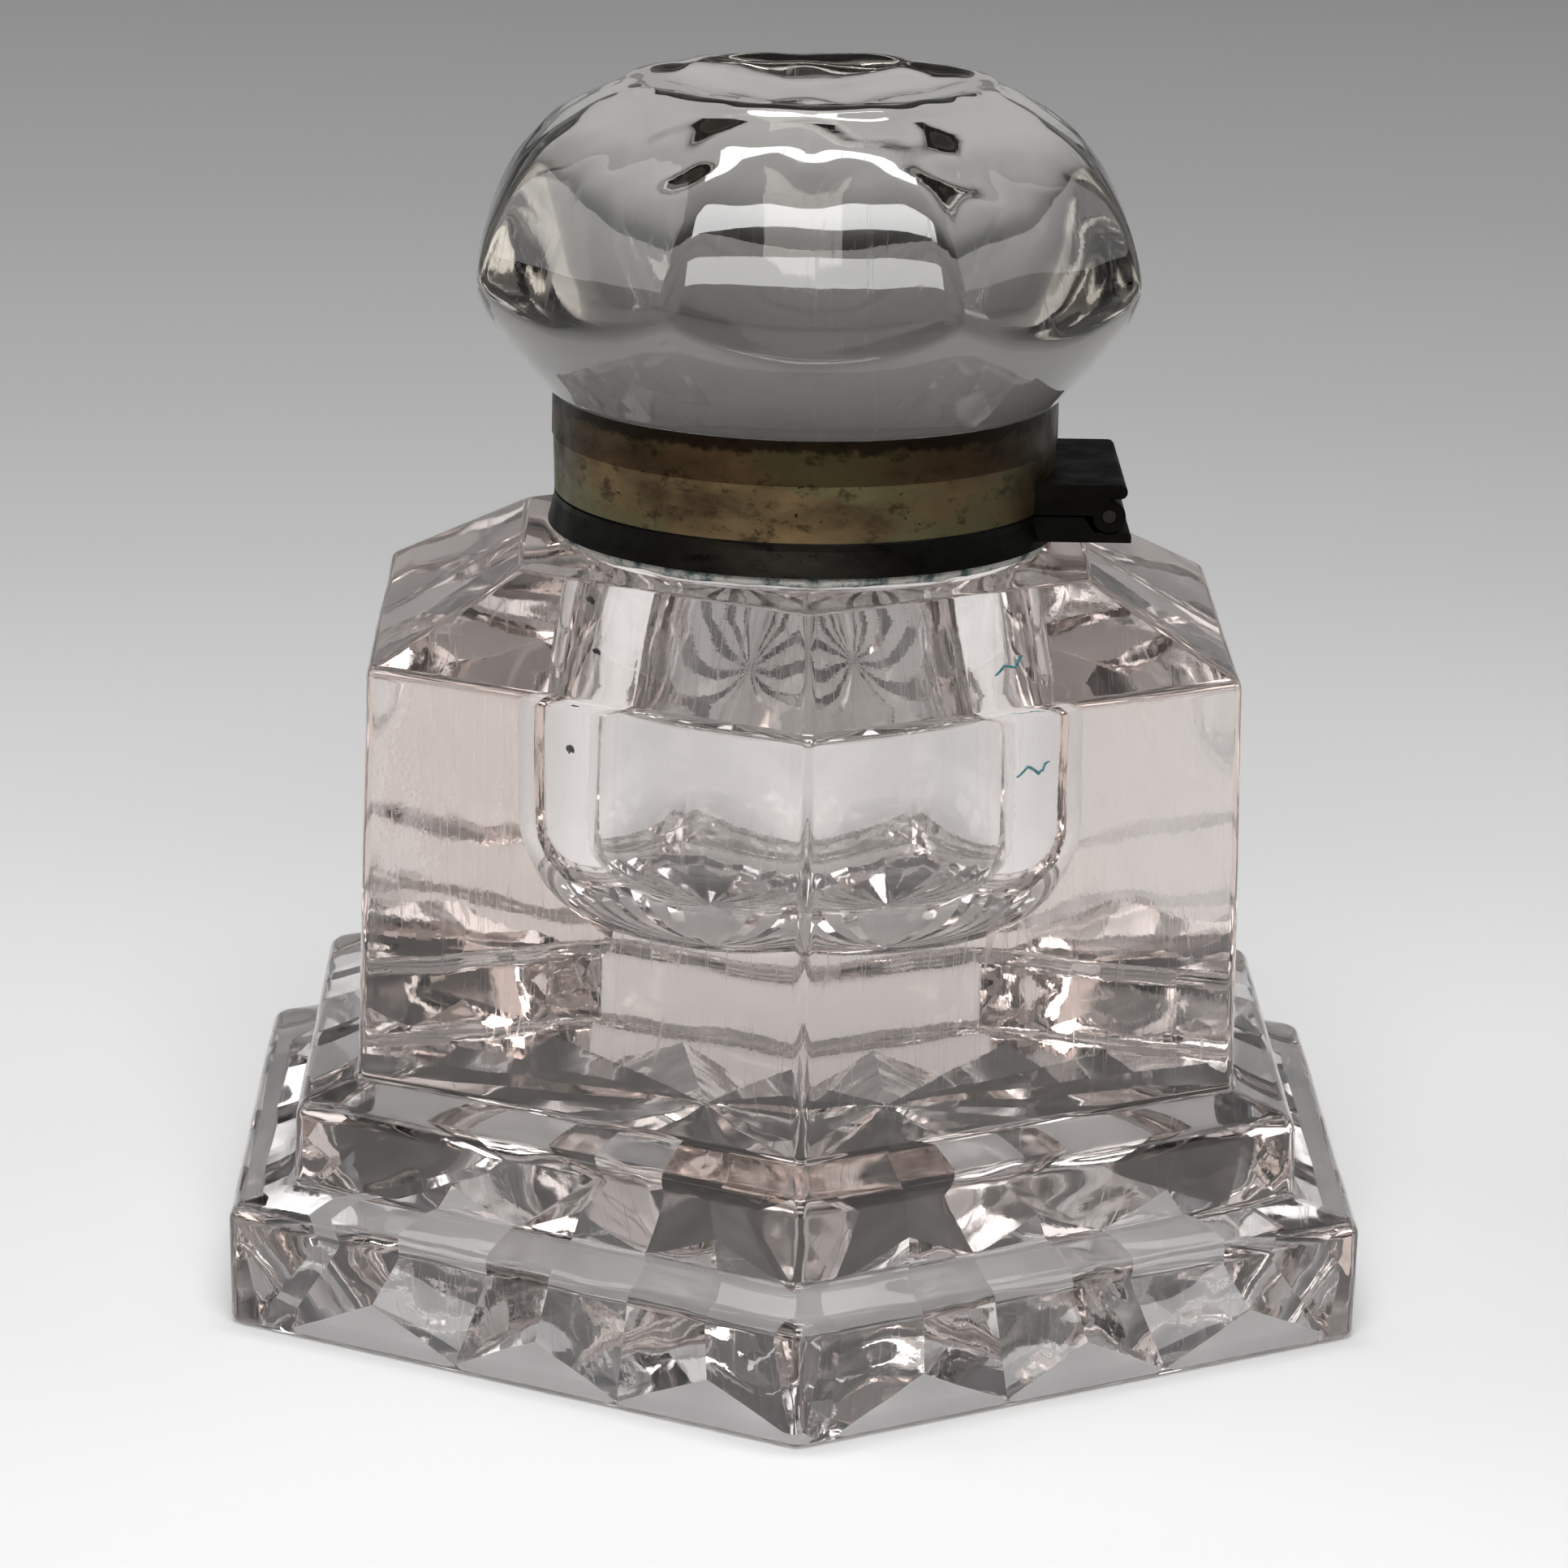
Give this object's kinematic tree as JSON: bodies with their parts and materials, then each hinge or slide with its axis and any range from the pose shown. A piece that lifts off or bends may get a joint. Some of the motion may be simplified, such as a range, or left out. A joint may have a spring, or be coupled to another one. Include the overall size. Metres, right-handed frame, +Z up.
{
  "type": "ink bottle",
  "caption": "Hexagonal stepped clear-glass ink bottle with a round ink well and a domed, faceted glass lid on brass rings, hinged at one side.",
  "frame": {"origin": "centre of the hexagonal base, on the surface that it stands on", "axes": "+Z up; +X towards the hinge, square to a flat of the hexagon; -Y towards a corner of the hexagon"},
  "size_m": [0.0924, 0.1066, 0.0993],
  "materials": {
    "body_glass": "polished",
    "lid_glass": "polished",
    "aged_brass": "worn",
    "dark_brass": "worn",
    "pin_steel": "worn",
    "plaster": "matte"
  },
  "bodies": {
    "bottle": {"bottle_body": "body_glass", "neck_cement": "plaster", "neck_collar": "dark_brass", "lower_hinge_leaf": "dark_brass", "hinge_pin": "pin_steel"},
    "lid": {"upper_hinge_leaf": "dark_brass", "lid_collar": "aged_brass", "lid_bezel": "aged_brass", "lid_cement": "plaster", "lid_glass": "lid_glass"}
  },
  "joints": [
    {"name": "lid_hinge", "type": "hinge", "parent": "bottle", "child": "lid", "pos_m": [0.025, 0, 0.06495], "axis": [0, 1, 0], "range_deg": [0, 90]}
  ]
}
